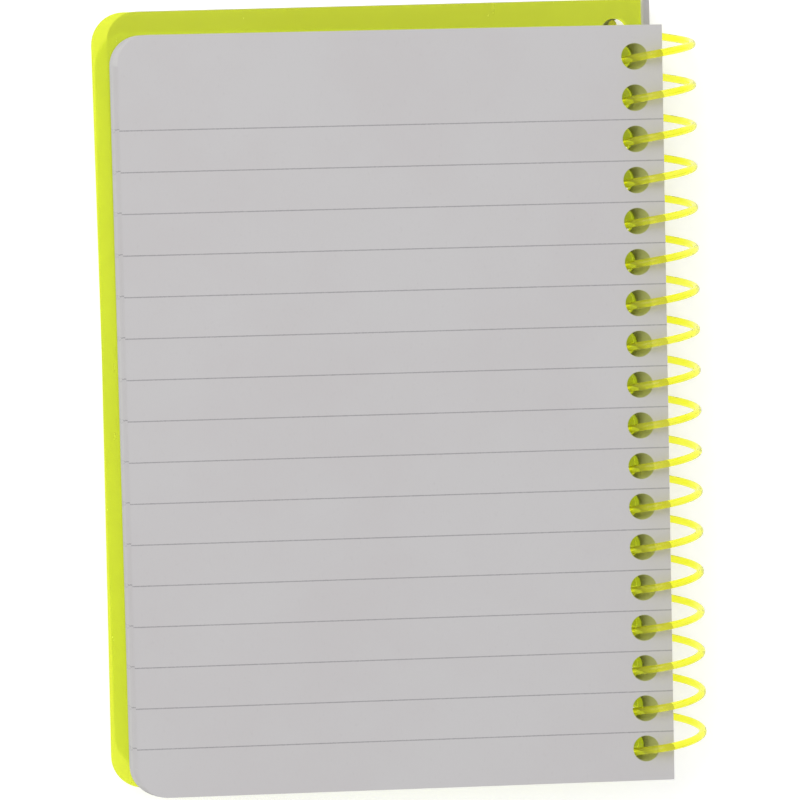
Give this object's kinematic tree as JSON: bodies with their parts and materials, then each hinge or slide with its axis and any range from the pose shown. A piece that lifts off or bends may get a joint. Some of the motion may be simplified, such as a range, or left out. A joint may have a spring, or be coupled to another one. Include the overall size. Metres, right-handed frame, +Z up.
{
  "type": "pocket notebook",
  "caption": "Small ruled notebook on a plastic coil, opened in the middle and folded back on itself, with loose translucent plastic covers and fore-edge corners rounded.",
  "frame": {"origin": "centre of the underside's bounding box, on the surface that the notebook lies on", "axes": "+Z up, towards the reader; +Y towards the top edge of the pages, parallel to the coil; +X from the fore-edge towards the coil"},
  "size_m": [0.093, 0.121, 0.0134],
  "materials": {
    "paper": "uncoated light grey-white writing paper with thin printed grey rules",
    "cover_plastic": "translucent fluorescent yellow-green plastic sheet with a fine matte grain",
    "coil_plastic": "glossy translucent neon yellow plastic wire"
  },
  "bodies": {
    "rear_half": {"leaf_41": "paper", "leaf_42": "paper", "leaf_43": "paper", "leaf_44": "paper", "leaf_45": "paper", "leaf_46": "paper", "leaf_47": "paper", "leaf_48": "paper", "leaf_49": "paper", "leaf_50": "paper", "leaves_51_60": "paper", "leaves_61_70": "paper", "leaves_71_80": "paper", "back_cover": "cover_plastic"},
    "front_cover": {"front_cover": "cover_plastic"},
    "front_leaves": {"leaf_31": "paper", "leaf_32": "paper", "leaf_33": "paper", "leaf_34": "paper", "leaf_35": "paper", "leaf_36": "paper", "leaf_37": "paper", "leaf_38": "paper", "leaf_39": "paper", "leaves_21_30": "paper", "leaves_11_20": "paper", "leaves_01_10": "paper"},
    "top_leaf": {"leaf_40": "paper"},
    "coil": {"coil_binding": "coil_plastic"}
  },
  "joints": [
    {"name": "front_cover_turn", "type": "hinge", "parent": "rear_half", "child": "front_cover", "pos_m": [0.03977, 0, 0.00671], "axis": [0, 1, 0], "range_deg": [0, 75]},
    {"name": "front_leaves_turn", "type": "hinge", "parent": "front_cover", "child": "front_leaves", "pos_m": [0.03977, 0, 0.00671], "axis": [0, 1, 0], "range_deg": [0, 35]},
    {"name": "top_leaf_turn", "type": "hinge", "parent": "front_leaves", "child": "top_leaf", "pos_m": [0.04077, 0, 0.00674], "axis": [0, 1, 0], "range_deg": [0, 25]},
    {"name": "coil_slip", "type": "slide", "parent": "rear_half", "child": "coil", "axis": [0, 1, 0], "range_m": [-0.00105, 0]}
  ],
  "couplings": [
    {"joint": "coil_slip", "follows": "front_cover_turn", "m_per_rad": -0.00076394}
  ]
}
